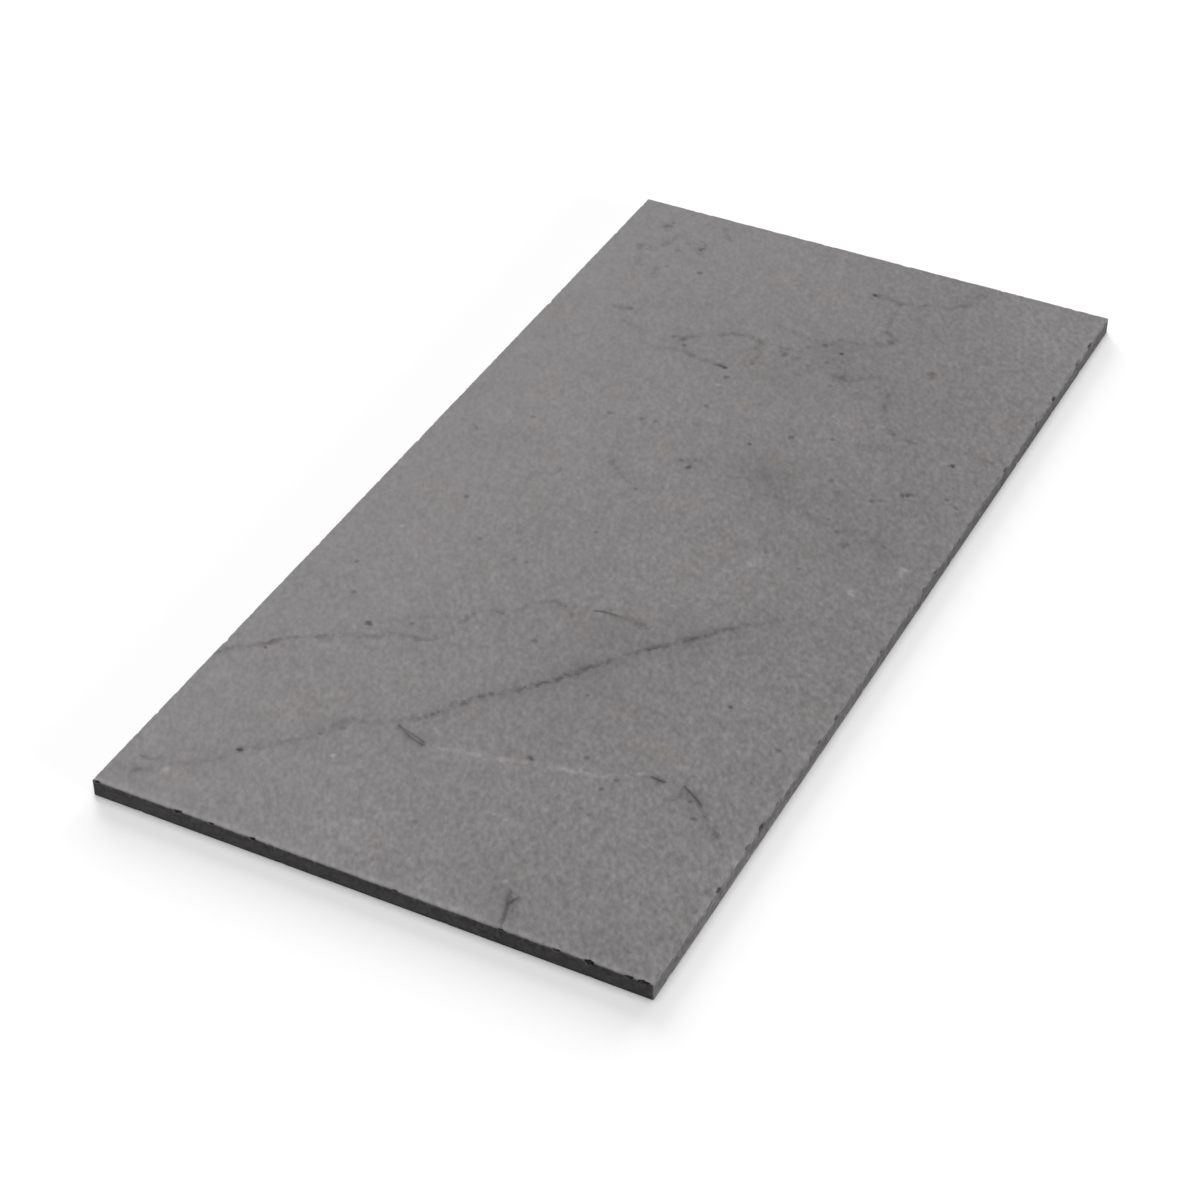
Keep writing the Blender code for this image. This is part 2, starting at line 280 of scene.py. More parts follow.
# %% Dark and pale spots: x, y, radius and strength in hundredths
DARK_SPOTS = (
    (-131, -181, 1.2, 60), (19, 266, 1.6, 100), (26, 199, 1.6, 80), (30, 191, 1.4, 40), (125, 125, 1.7, 90),
    (134, 94, 1.5, 50), (56, 118, 1.5, 50), (34, 109, 1.7, 60), (16, 93, 1.6, 50), (98, 75, 2, 60),
    (102, 77, 1.4, 40), (78, 74, 1.8, 40), (71, 82, 1.6, 40), (100, 32, 2.2, 50), (92, 41, 1.8, 50),
    (83, 49, 1.5, 40), (87, 2, 1.5, 40), (-24, 147, 1.8, 60), (-22, 116, 1.5, 50), (-41, 89, 1.9, 50),
    (-49, 88, 1.8, 45), (-68, 85, 1.8, 45), (-5, 58, 2, 80), (-105, 62, 1.5, 40), (-102, -21, 1.5, 60),
    (-24, -18, 1.5, 40), (-77, -51, 1.5, 40), (-52, -59, 1.5, 40), (-45, -58, 1.5, 40),
    (-114, -121, 1.7, 50), (-126, -98, 1.4, 50), (-86, 241, 2, 60), (-107, 239, 1.6, 40), (-69, 172, 2, 50),
    (-60, 166, 1.6, 40), (-16, 166, 1.6, 50), (-12, 62, 1.5, 50), (90, 216, 1.6, 30), (-10, -114, 1.8, 50),
    (-73, -130, 1.6, 50), (-94, -140, 2.2, 80), (102, -116, 1.6, 60), (34, -140, 1.3, 50),
    (55, -182, 1.5, 50), (76, -190, 1.5, 60), (72, -199, 1.6, 60), (121, -198, 1.4, 60),
    (114, -188, 1.3, 50), (75, -218, 1.4, 50), (69, -216, 1.4, 40), (3, -260, 1.7, 50),
    (137, -135, 1.6, 60), (-100, -254, 1.9, 90), (-63, -217, 1.8, 40), (-29, 156, 1.8, 60),
    (108, -171, 1.4, 30), (14, 203, 2, 50), (47, 223, 2.4, 45), (-64, 171, 2.4, 45), (-32, 157, 2.2, 40),
    (-106, 187, 2, 40), (-97, 266, 2.2, 40), (-109, 258, 2, 40), (-4, 190, 1.5, 32), (5, 184, 1.7, 36),
    (13, 179, 1.5, 30), (22, 187, 1.7, 36), (30, 192, 1.5, 30), (6, 197, 1.5, 30), (33, 166, 1.5, 28),
    (50, 166, 1.6, 30), (12, 168, 1.5, 30), (58, 177, 1.5, 28),
)
PALE_SPOTS = (
    (-57, -237, 1.5, 100), (-25, 138, 1.6, 80), (-120, -60, 1.6, 70), (55, -224, 1.3, 60),
    (34, -238, 1.2, 50), (41, -239, 1.2, 50), (13, -283, 1.3, 60), (61, -276, 1.5, 70), (84, -181, 1.6, 70),
    (76, 142, 1.5, 60), (47, 139, 1.3, 60), (61, -238, 1.1, 40), (127, -75, 1.3, 50), (41, -56, 1.3, 50),
)
print(len(DARK_SPOTS), "dark spots and", len(PALE_SPOTS), "pale spots")

# %% [markdown]
# ## Uneven routes
# A real seam never runs straight for more than a few millimetres: it creeps from grain to grain. So every
# drawn route is cut into short steps and each new place is thrown a little to one side. One seeded source
# gives the random numbers, so the tile is the same each time.

# %% Break the seams into short uneven steps
FULL_STRENGTH = 100
SEAM_STEP = 4.5
SEAM_THROW, CRACK_THROW = 0.60, 0.25
EDGE_REACH = 2.5
OVER_EDGE = 5.0
seam_luck = random.Random(SEED)


def uneven_route(places, throw=SEAM_THROW):
    """The route as an array of x, y and strength with a short step between places."""
    places = [(x, y, strength / FULL_STRENGTH) for x, y, strength in places]
    steps = []
    for (x0, y0, s0), (x1, y1, s1) in zip(places, places[1:]):
        run = math.hypot(x1 - x0, y1 - y0)
        count = max(1, round(run / SEAM_STEP))
        for number in range(count):
            part = number / count
            aside = seam_luck.uniform(-throw, throw) if number else 0.0
            steps.append((
                x0 + (x1 - x0) * part - (y1 - y0) / run * aside,
                y0 + (y1 - y0) * part + (x1 - x0) / run * aside,
                s0 + (s1 - s0) * part,
            ))
    steps.append(places[-1])
    route = np.array(steps, float)
    for end, before in ((0, 1), (-1, -2)):
        if abs(route[end, 0]) > HALF_WIDTH - EDGE_REACH or abs(route[end, 1]) > HALF_LENGTH - EDGE_REACH:
            run = route[end, :2] - route[before, :2]
            route[end, :2] += run / np.hypot(*run) * OVER_EDGE
    return route


seams = [(name, half_width, 1.0, uneven_route(places)) for name, half_width, places in DARK_SEAMS]
seams += [(name, half_width, -1.0, uneven_route(places)) for name, half_width, places in PALE_SEAMS]
cracks = [(name, half_width, depth, uneven_route(places, CRACK_THROW))
          for name, half_width, depth, places in CRACKS]
print(len(seams), "seams in", sum(len(route) - 1 for *_, route in seams), "short steps")

# %% [markdown]
# ## Measuring to a route
# Shape and colour both need to know how far a place on the face is from a seam, and on which side of it.
# One helper walks along the route step by step and keeps the nearest. It also gives the strength there and
# how far both ends fade out, so that no seam ends in a blunt stub.

# %% Distance across a route
FAR = 99.0
END_FADE, END_PART = 2.0, 0.3
SEARCH = 9.0


def across(places, route, reach):
    """Each place's signed distance to the route, the strength there and how far the ends fade."""
    signed = np.full(len(places), FAR)
    strength = np.zeros(len(places))
    fade = np.zeros(len(places))
    low, high = route[:, :2].min(0) - reach, route[:, :2].max(0) + reach
    near = np.flatnonzero(((places[:, :2] > low) & (places[:, :2] < high)).all(1))
    if not len(near):
        return signed, strength, fade
    spots = places[near, :2]
    runs = route[1:, :2] - route[:-1, :2]
    lengths = np.hypot(runs[:, 0], runs[:, 1])
    starts = np.concatenate(([0.0], np.cumsum(lengths)))
    fade_length = min(END_FADE, END_PART * starts[-1])
    best = np.full(len(near), reach)
    for number, run in enumerate(runs):
        offset = spots - route[number, :2]
        part = np.clip(offset @ run / lengths[number] ** 2, 0.0, 1.0)
        gap = offset - part[:, None] * run
        distance = np.hypot(gap[:, 0], gap[:, 1])
        closer = distance < best
        if not closer.any():
            continue
        best[closer] = distance[closer]
        side = np.where(run[0] * offset[:, 1] - run[1] * offset[:, 0] < 0.0, -1.0, 1.0)
        signed[near[closer]] = (distance * side)[closer]
        along = starts[number] + part * lengths[number]
        here = route[number, 2] + (route[number + 1, 2] - route[number, 2]) * part
        strength[near[closer]] = here[closer]
        from_end = np.minimum(along, starts[-1] - along)
        fade[near[closer]] = np.clip(from_end / fade_length, 0.0, 1.0)[closer]
    return signed, strength, fade


first_route = seams[0][3]
start, end = first_route[12, :2], first_route[13, :2]
sideways = np.array((start[1] - end[1], end[0] - start[0])) / np.hypot(*(end - start))
beside = (start + end)[None] / 2 + sideways
print("a place 1 mm beside the first seam reads", across(beside, first_route, SEARCH)[0].round(2))

# %% [markdown]
# ## The plain slab
# The tile starts as a cube stretched to size. Its long edges are cut into a loose grid, its four upright
# corners are rounded and all its arrises are eased while it is still simple. Finer cuts follow only where
# they are needed, because an even fine division would take millions of pieces.

# %% Make the slab, cut it into a loose grid and ease its arrises
GRID_CUTS = (31, 63, 1)
AT_CORNER, LEVEL, ALIGNED = 0.1, 0.9, 0.99


def running(slab, axis):
    """The slab's edges that run along one axis."""
    return [edge for edge in slab.edges
            if abs((edge.verts[0].co - edge.verts[1].co).normalized()[axis]) > ALIGNED]


slab = bmesh.new()
bmesh.ops.create_cube(slab, size=1.0)
bmesh.ops.scale(slab, vec=(WIDTH, LENGTH, THICKNESS), verts=slab.verts)
bmesh.ops.translate(slab, vec=(0.0, 0.0, THICKNESS / 2), verts=slab.verts)
for axis, cuts in enumerate(GRID_CUTS):
    bmesh.ops.subdivide_edges(slab, edges=running(slab, axis), cuts=cuts, use_grid_fill=True)
corners = [edge for edge in running(slab, 2)
           if all(abs(vert.co.x) > HALF_WIDTH - AT_CORNER and abs(vert.co.y) > HALF_LENGTH - AT_CORNER
                  for vert in edge.verts)]
bmesh.ops.bevel(
    slab, geom=corners, offset=CORNER_EASE, segments=3, profile=0.5, affect="EDGES", material=-1)
for looks_up, ease_width, rings in ((True, ARRIS_EASE, 3), (False, LOWER_ARRIS_EASE, 2)):
    arrises = [edge for edge in slab.edges
               if len(edge.link_faces) == 2
               and sum(abs(face.normal.z) > LEVEL for face in edge.link_faces) == 1
               and (edge.verts[0].co.z > THICKNESS / 2) == looks_up]
    bmesh.ops.bevel(
        slab, geom=arrises, offset=ease_width, segments=rings, profile=0.5, affect="EDGES", material=-1)
print("plain slab:", len(slab.verts), "points,", len(slab.faces), "faces")

# %% [markdown]
# ## How fine the stone must be, place by place
# A ragged arris needs points every half millimetre, a pit needs them closer still, and the open field
# between the seams needs hardly any. The rule below gives the longest edge that may stay at each place.
# Edges longer than that are halved, and halved again, until none is too long. The wanted length grows
# slowly away from each mark, so fine and coarse stone meet without a jump.

# %% The longest edge allowed at each place
FIELD_EDGE, UNDERSIDE_EDGE = 6.8, 14.0
UPPER_ARRIS_EDGE, LOWER_ARRIS_EDGE = 0.8, 2.2
BITE_EDGE, LOWER_BITE_EDGE = 0.42, 0.8
SEAM_EDGE, SPOT_EDGE, PIT_EDGE = 1.7, 0.85, 0.42
CRACK_BOTTOM = 3.0
FACE_SKIN = 0.6
ARRIS_BAND, SEAM_BAND, SPOT_BAND, MARGIN = 1.4, 3.0, 1.3, 0.2
GROWTH = 0.75


def edge_frames(places):
    """Each side's name, and each place's distance along that side and inwards from it."""
    x, y = places[:, 0], places[:, 1]
    return (("front", x, y + HALF_LENGTH), ("right", y, HALF_WIDTH - x),
            ("back", x, HALF_LENGTH - y), ("left", y, x + HALF_WIDTH))


def inset_of(places):
    """How far inside the tile's outline each place lies."""
    return np.minimum(HALF_WIDTH - np.abs(places[:, 0]), HALF_LENGTH - np.abs(places[:, 1]))


def away_from(x, y, places):
    """Each place's distance from one place of the face."""
    return np.hypot(places[:, 0] - x, places[:, 1] - y)


def longest_edge(places):
    """The longest edge that may stay at each place, in millimetres."""
    def grown(finest_edge, gap):
        return finest_edge + GROWTH * np.maximum(gap, 0.0)

    z = places[:, 2]
    inset = inset_of(places)
    upper, lower = np.hypot(inset, THICKNESS - z), np.hypot(inset, z)
    wanted = np.where(z > THICKNESS / 2, FIELD_EDGE, UNDERSIDE_EDGE)
    wanted = np.minimum(wanted, grown(UPPER_ARRIS_EDGE, upper - ARRIS_BAND))
    wanted = np.minimum(wanted, grown(LOWER_ARRIS_EDGE, lower - ARRIS_BAND))
    on_top = z > THICKNESS - FACE_SKIN
    top = places[on_top]
    finest = np.full(len(top), FIELD_EDGE)
    for _, _, _, route in seams:
        gap = np.abs(across(top, route, SEARCH)[0])
        finest = np.minimum(finest, grown(SEAM_EDGE, gap - SEAM_BAND))
    for x, y, radius, _ in DARK_SPOTS + PALE_SPOTS:
        gap = away_from(x, y, top) - SPOT_BAND * radius
        finest = np.minimum(finest, grown(SPOT_EDGE, gap))
    for x, y, length, *_ in PITS:
        gap = away_from(x, y, top) - 0.5 * length - MARGIN
        finest = np.minimum(finest, grown(PIT_EDGE, gap))
    wanted[on_top] = np.minimum(wanted[on_top], finest)
    for _, half_width, _, route in cracks:
        gap = np.abs(across(places, route, SEARCH)[0])
        finest = grown(PIT_EDGE, gap - half_width - MARGIN)
        wanted = np.where(z > CRACK_BOTTOM, np.minimum(wanted, finest), wanted)
    for side, along, inward in edge_frames(places):
        for bites, depth, finest_edge in (
                (UPPER_BITES, THICKNESS - z, BITE_EDGE), (LOWER_BITES, z, LOWER_BITE_EDGE)):
            for place, length, reach in bites[side]:
                gap = np.hypot(np.maximum(np.abs(along - place) - 0.5 * length, 0.0),
                               np.maximum(np.hypot(inward, depth) - reach, 0.0))
                wanted = np.minimum(wanted, grown(finest_edge, gap - MARGIN))
    return wanted


print("longest edge at the face's middle:", longest_edge(np.array([[0.0, 0.0, THICKNESS]])))

# %% Halve the edges that are too long
MOST_TURNS = 12


def points_of(mesh):
    """The points of a mesh as an array."""
    return np.array([vert.co[:] for vert in mesh.verts], float)


for turn in range(MOST_TURNS):
    many_sided = [face for face in slab.faces if len(face.verts) > 4]
    if many_sided:
        bmesh.ops.triangulate(slab, faces=many_sided)
    slab.verts.index_update()
    points = points_of(slab)
    ends = np.array([(edge.verts[0].index, edge.verts[1].index) for edge in slab.edges])
    middles = (points[ends[:, 0]] + points[ends[:, 1]]) / 2
    lengths = np.linalg.norm(points[ends[:, 0]] - points[ends[:, 1]], axis=1)
    too_long = lengths > longest_edge(middles)
    if not too_long.any():
        break
    chosen = [edge for edge, cut in zip(list(slab.edges), too_long) if cut]
    bmesh.ops.subdivide_edges(slab, edges=chosen, cuts=1, use_grid_fill=True)
    print("turn", turn, "halved", len(chosen), "edges:", len(slab.verts), "points")
bmesh.ops.triangulate(slab, faces=[face for face in slab.faces if len(face.verts) > 4])
triangles = sum(len(face.verts) - 2 for face in slab.faces)
print("slab ready for carving:", len(slab.verts), "points,", triangles, "triangles")

# %% [markdown]
# ## A flat map for the finish
# The finish may later be laid on the tile as one flat picture, so each face gets its place on a map while
# the slab is still plain. The honed face takes the largest part, with the tile's length along the map. The
# underside is squeezed into a strip, and the four sawn edges lie side by side above it.

# %% Lay the faces out on a map
FACE_PATCH = (0.004, 0.996, 0.004, 0.620)
UNDERSIDE_PATCH = (0.004, 0.996, 0.632, 0.820)
EDGE_PATCHES = {
    "right": (0.004, 0.996, 0.832, 0.866),
    "left": (0.004, 0.996, 0.878, 0.912),
    "front": (0.004, 0.490, 0.924, 0.990),
    "back": (0.510, 0.996, 0.924, 0.990),
}


def laid_out(patch, part_along, part_across):
    """A place on the map inside a patch, from two parts between 0 and 1."""
    left, right, low, high = patch
    return left + (right - left) * part_along, low + (high - low) * part_across


def map_place(point, normal):
    """Where a corner of a face lies on the map, from the way the face looks."""
    part_x, part_y = point.x / WIDTH + 0.5, point.y / LENGTH + 0.5
    part_z = point.z / THICKNESS
    if normal.z > 0.5:
        return laid_out(FACE_PATCH, part_y, 1.0 - part_x)
    if normal.z < -0.5:
        return laid_out(UNDERSIDE_PATCH, part_y, part_x)
    if abs(normal.x) > abs(normal.y):
        return laid_out(EDGE_PATCHES["right" if normal.x > 0 else "left"], part_y, part_z)
    return laid_out(EDGE_PATCHES["back" if normal.y > 0 else "front"], part_x, part_z)


slab.normal_update()
flat_map = slab.loops.layers.uv.new("OFBake")
for face in slab.faces:
    face.smooth = True
    for loop in face.loops:
        loop[flat_map].uv = map_place(loop.vert.co, face.normal)
print("mapped", len(slab.faces), "faces")

# %% [markdown]
# ## Break the arrises
# A bite is an oval hollow centred on the arris. Cutting all 62 with a Boolean works in the plain solid, but
# leaves long thin triangles. Here every point inside a hollow slides diagonally into the stone until it
# meets the hollow's far wall, which keeps the even mesh. A little noise in the hollow's size breaks its
# wall up. A finer, shallower wear runs all along the upper arris.

# %% Slide points into the bites
BITE_UNEVENNESS, BITE_LUMP = 0.45, 1.1
# The bites are also painted dark, partly dirt and partly painted shade of the hollow: the deeper the bite
# the darker, and darkest on the front edge, which gets the least light.
LEAST_DARK, DARK_PER_MM, DARK_EDGE = 0.4, 0.4, 4.0
BITE_DIRT_AND_SHADE = {"front": 1.0, "right": 0.62, "back": 0.8, "left": 0.8}
WEAR = {"front": (0.08, 0.10), "right": (0.08, 0.36), "back": (0.25, 0.25), "left": (0.25, 0.25)}
WEAR_REACH, WEAR_DOWN = 1.3, 0.8
WEAR_PATCH, WEAR_PATCH_SIZE = 1.5, 4.0
WEAR_CRUMB, WEAR_CRUMB_SIZE = 0.6, 1.2
WORN_DEPTH, WORN_DIRT_AND_SHADE = 0.30, 0.40
DIAGONAL = math.sqrt(2.0)
home = points_of(slab)
sunk_in = np.zeros(len(home))
sunk_down = np.zeros(len(home))
broken_dirt_and_shade = np.zeros(len(home))


def grit(places, size, apart=0.0):
    """Smooth random values between about -1 and 1 that change over the given size in millimetres."""
    away = Vector((apart, -apart, apart))
    return np.array([noise.noise(Vector(place) / size + away) for place in places])


def nearest_side(places):
    """The number of the side that each place lies nearest to, in the order of edge_frames."""
    return np.argmin([inward for _, _, inward in edge_frames(places)], axis=0)


def half_length_of(side):
    """Half the length of a side."""
    return HALF_WIDTH if side in ("front", "back") else HALF_LENGTH


side_of = nearest_side(home)
for side, along, inward in edge_frames(home):
    for bites, depth, down in (
            (UPPER_BITES, THICKNESS - home[:, 2], 1.0), (LOWER_BITES, home[:, 2], -1.0)):
        for place, length, reach in bites[side]:
            near = np.flatnonzero(
                (np.abs(along - place) < length) & (inward < 2 * reach) & (depth < 3 * reach))
            wall = 1.0 + BITE_UNEVENNESS * grit(home[near], BITE_LUMP)
            a = (along[near] - place) / (length / 2)
            b = inward[near] / (reach * BITE_IN)
            c = depth[near] / (reach * BITE_DROP)
            diagonal = (b + c) / DIAGONAL
            inside = wall ** 2 - a ** 2 - b ** 2 - c ** 2
            slide = np.sqrt(np.maximum(diagonal ** 2 + inside, 0.0)) - diagonal
            slide = np.where(inside > 0.0, slide, 0.0)
            sunk_in[near] = np.maximum(sunk_in[near], slide * reach * BITE_IN / DIAGONAL)
            sunk_down[near] += down * slide * reach * BITE_DROP / DIAGONAL
            darkness = BITE_DIRT_AND_SHADE[side] * min(1.0, LEAST_DARK + DARK_PER_MM * reach)
            broken_dirt_and_shade[near] = np.maximum(broken_dirt_and_shade[near], darkness * np.clip(inside * DARK_EDGE, 0.0, 1.0))
print("bites reach", sunk_in.max().round(2), "mm into the face and", sunk_down.max().round(2), "mm down")

# %% Wear the upper arris
inset = inset_of(home)
from_arris = np.hypot(inset, THICKNESS - home[:, 2])
worn = np.flatnonzero(from_arris < WEAR_REACH)
ragged = WEAR_PATCH * grit(home[worn], WEAR_PATCH_SIZE)
ragged += WEAR_CRUMB * grit(home[worn], WEAR_CRUMB_SIZE, apart=7.0)
ragged = np.clip(ragged, 0.0, 1.0)
most = np.zeros(len(worn))
for number, (side, along, _) in enumerate(edge_frames(home[worn])):
    here = side_of[worn] == number
    half = half_length_of(side)
    most[here] = np.interp(along[here], (-half, half), WEAR[side])
wear = most * ragged * (1.0 - from_arris[worn] / WEAR_REACH)
sunk_in[worn] += wear
sunk_down[worn] += WEAR_DOWN * wear
# The worn arris is painted darker too, partly dirt and partly painted shade.
broken_dirt_and_shade[worn] = np.maximum(broken_dirt_and_shade[worn], WORN_DIRT_AND_SHADE * np.clip(wear / WORN_DEPTH, 0.0, 1.0))
print("wear moves the arris by up to", wear.max().round(2), "mm")

# %% [markdown]
# ## Sink the pits and the cracks
# A pit is a shallow bowl, and a crack is a groove with a V section. Both lower the points of the honed
# face, and both are painted dark, partly dirt and partly painted shade. The crack that meets the front
# arris also runs down the sawn edge and closes as it goes.

# %% Lower the points of the pits
PIT_UNEVENNESS, PIT_LUMP = 0.22, 1.0
BOWL_UNEVENNESS, BOWL_LUMP = 0.2, 0.5
# The pits are painted darker towards their middle, partly dirt and partly painted shade.
PIT_DIRT_AND_SHADE = 0.22
FACE_FILM = 0.01
on_face = home[:, 2] > THICKNESS - FACE_FILM
hollow = np.zeros(len(home))
dirt_and_shade = np.zeros(len(home))
for number, (x, y, length, width, depth, turn) in enumerate(PITS):
    near = np.flatnonzero(on_face & (away_from(x, y, home) < length))
    aside, ahead = home[near, 0] - x, home[near, 1] - y
    lean = math.radians(turn)
    lengthwise = (aside * math.cos(lean) + ahead * math.sin(lean)) / (length / 2)
    crosswise = (ahead * math.cos(lean) - aside * math.sin(lean)) / (width / 2)
    outwards = np.hypot(lengthwise, crosswise)
    outwards /= 1.0 + PIT_UNEVENNESS * grit(home[near], PIT_LUMP, number)
    bowl = depth * np.maximum(1.0 - outwards ** 2, 0.0)
    rough = 1.0 + BOWL_UNEVENNESS * grit(home[near], BOWL_LUMP, number)
    hollow[near] = np.maximum(hollow[near], bowl * rough)
    dirt_and_shade[near] = np.maximum(dirt_and_shade[near], PIT_DIRT_AND_SHADE * bowl / depth)
print("pits: deepest", hollow.max().round(2), "mm")

# %% Open the cracks
CRACK_RUNS_DOWN = 6.5
USUAL_WIDTH, WIDTH_CHANGE, WIDTH_LUMP = 0.9, 0.45, 1.7
closing = np.clip(1.0 - (THICKNESS - home[:, 2]) / CRACK_RUNS_DOWN, 0.0, 1.0)
on_side = ~on_face & (inset < ARRIS_EASE)
for name, half_width, depth, route in cracks:
    gap, strength, fade = across(home, route, SEARCH)
    width_here = half_width * (USUAL_WIDTH + WIDTH_CHANGE * grit(home, WIDTH_LUMP, apart=3.0))
    apart = np.abs(gap) / width_here
    groove = depth * fade * np.maximum(1.0 - apart, 0.0)
    hollow[on_face] = np.maximum(hollow[on_face], groove[on_face])
    sunk_in[on_side] += (groove * closing)[on_side]
    # Each crack is painted dark along its middle, partly dirt and partly painted shade, fading as it closes
    # down the sawn edge.
    dirt_and_shade = np.maximum(dirt_and_shade, strength * fade * closing * np.exp(-apart ** 2))
sunk_down += hollow
print("deepest crack or pit", hollow.max().round(2), "mm")

# %% Move the points
MOVED = 0.001
INWARDS = np.array(((0.0, 1.0), (-1.0, 0.0), (0.0, -1.0), (1.0, 0.0)))
carved = home.copy()
carved[:, :2] += INWARDS[side_of] * sunk_in[:, None]
carved[:, 2] -= sunk_down
for vert, place in zip(slab.verts, carved):
    vert.co = place * MM
print("moved", int((np.abs(carved - home).max(1) > MOVED).sum()), "points")

# %% Make the tile's mesh
SHARP_TURN = 52


def placed(name, data):
    """A new object of the scene."""
    made = bpy.data.objects.new(name, data)
    bpy.context.scene.collection.objects.link(made)
    return made


mesh = bpy.data.meshes.new("limestone_slab")
slab.to_mesh(mesh)
slab.free()
mesh.set_sharp_from_angle(angle=math.radians(SHARP_TURN))
tile = placed("limestone_slab", mesh)
print("tile mesh:", len(mesh.vertices), "points,", len(mesh.polygons), "faces")

# %% [markdown]
# ## Write the seams on the mesh
# The finish has to know where the seams are. Every point carries its signed distance across the nearest
# seam, how strongly that seam shows, and its half width. Between two points the distance is filled in
# evenly, so a line far thinner than the mesh is drawn sharply. Seams that come close would spoil each
# other's distance, so they are kept on separate layers.

# %% Sort the seams into layers
BAND = 6.0
KEEP_READING = 12.0
APART = 15.0


def least_gap(first, second):
    """The least distance between the places of two routes."""
    return np.hypot(*(first[:, None, :2] - second[None, :, :2]).transpose(2, 0, 1)).min()


layers = []
for seam in sorted(seams, key=lambda item: -len(item[3])):
    for layer in layers:
        if all(least_gap(seam[3], other[3]) > APART for other in layer):
            layer.append(seam)
            break
    else:
        layers.append([seam])
print("seams lie on", len(layers), "layers:", [len(layer) for layer in layers])

# %% Store each layer on the mesh
SPARE_HALF_WIDTH = 0.5


def store(name, kind, values):
    """Stores one value for every point of the tile under a name."""
    stored = mesh.attributes.new(name, kind, "POINT")
    field = "vector" if kind == "FLOAT_VECTOR" else "value"
    stored.data.foreach_set(field, np.asarray(values, np.float32).ravel())


for number, layer in enumerate(layers):
    reading = np.full((len(home), 3), (FAR, 0.0, SPARE_HALF_WIDTH))
    for name, half_width, tone, route in layer:
        gap, strength, fade = across(home, route, KEEP_READING)
        nearer = np.abs(gap) < np.abs(reading[:, 0])
        reading[nearer, 0] = gap[nearer]
        reading[nearer, 1] = np.where(np.abs(gap) < BAND, tone * strength * fade, 0.0)[nearer]
        reading[nearer, 2] = half_width
    store(f"seams_{number}", "FLOAT_VECTOR", reading)
print("stored", len(layers), "seam layers")

# %% [markdown]
# ## Soft tones
# The face is painted slightly lighter at its left side than at its right, a painted fall of light. Cloudy
# patches lie between the seams, and clay has stained the stone for a few millimetres along the strongest
# seams. One number at each point holds them all.

# %% Clouds as x, y, radius and tone in thousandths, and stains
RIGHTWARD_PAINTED_SHADE, TONE_PARTS = 0.0006, 1000
CLOUDS = (
    (41, 72, 15, -70), (84, 68, 12, -60), (119, 83, 12, -50), (119, 42, 12, -60), (100, 30, 8, -40),
    (67, 15, 10, -40), (22, 205, 10, -60), (47, 224, 6, -50), (35, 175, 8, -50), (10, 190, 12, -40),
    (-65, 170, 6, -60), (-33, 156, 4, -80), (84, 130, 8, -40), (0, 63, 6, -40), (24, -92, 13, -80),
    (-69, -132, 12, -40), (27, -178, 15, -30), (113, -185, 5, -80), (-69, -225, 8, -40), (72, -292, 6, -90),
    (127, -295, 12, -30), (125, -20, 20, -20), (110, -110, 20, 20), (100, 185, 20, -20),
    (-19, -278, 10, 30), (-6, -208, 8, 30), (25, -125, 38, -80), (60, -82, 24, -55), (98, -58, 24, -40),
    (28, 75, 30, -50), (62, 55, 26, -45), (100, 40, 20, -30), (25, 185, 26, -50), (62, 175, 20, -50),
    (-15, 165, 18, -40), (138, 275, 34, 100), (105, 293, 22, 60), (-60, 290, 20, 50), (150, 130, 40, 30),
    (150, -205, 40, 35), (140, 250, 28, 30), (22, -130, 18, -20), (137, 215, 22, 50), (-100, 90, 30, 25),
    (-140, 210, 40, 30), (137, 165, 20, 30), (8, -88, 9, -70), (-70, -128, 8, -50), (58, -282, 14, -70),
    (-32, -290, 22, 70), (130, 30, 12, -70), (-102, 200, 12, -75), (-6, 280, 14, 65), (-106, -68, 20, 55),
    (4, 160, 11, -70), (-142, -292, 9, -60), (-47, -256, 14, 45), (-63, 168, 8, -60), (-21, -218, 7, -60),
    (2, -154, 8, -50), (18, 203, 9, -60), (30, 72, 12, -45), (102, 48, 12, -35), (40, 66, 9, -35),
    (-6, 61, 7, -40), (118, 36, 8, -35),
)
STAINS = {
    "main": (5.5, 0.10), "front_crack": (3.5, 0.10),
    "right_crack": (3.5, 0.12), "scar_lower": (4.0, 0.08),
}
STAIN_REACH = 3.0
# Painted light: the face lighter towards its left side and darker towards its right.
cloud = -RIGHTWARD_PAINTED_SHADE * home[:, 0]
for x, y, radius, tone in CLOUDS:
    cloud += tone / TONE_PARTS * np.exp(-((home[:, 0] - x) ** 2 + (home[:, 1] - y) ** 2) / radius ** 2)
for name, _, _, route in seams:
    if name in STAINS:
        spread, tone = STAINS[name]
        gap, strength, _ = across(home, route, STAIN_REACH * spread)
        cloud -= tone * np.sqrt(strength) * np.exp(-0.5 * (gap / spread) ** 2)
store("cloud", "FLOAT", cloud)
print("soft tones from", cloud.min().round(3), "to", cloud.max().round(3))

# %% Spots
SPOT_SPREAD = 1.5
spot_field = np.full((len(home), 3), (-1.0, 0.0, 0.0))
for spots, tone in ((DARK_SPOTS, 1.0), (PALE_SPOTS, -1.0)):
    for x, y, radius, strength in spots:
        field = 1.0 - away_from(x, y, home) / (SPOT_SPREAD * radius)
        nearer = field > spot_field[:, 0]
        spot_field[nearer, 0] = field[nearer]
        spot_field[nearer, 1] = tone * strength / FULL_STRENGTH
store("spots", "FLOAT_VECTOR", spot_field)
print("spots cover", int((spot_field[:, 0] > 0.0).sum()), "points")

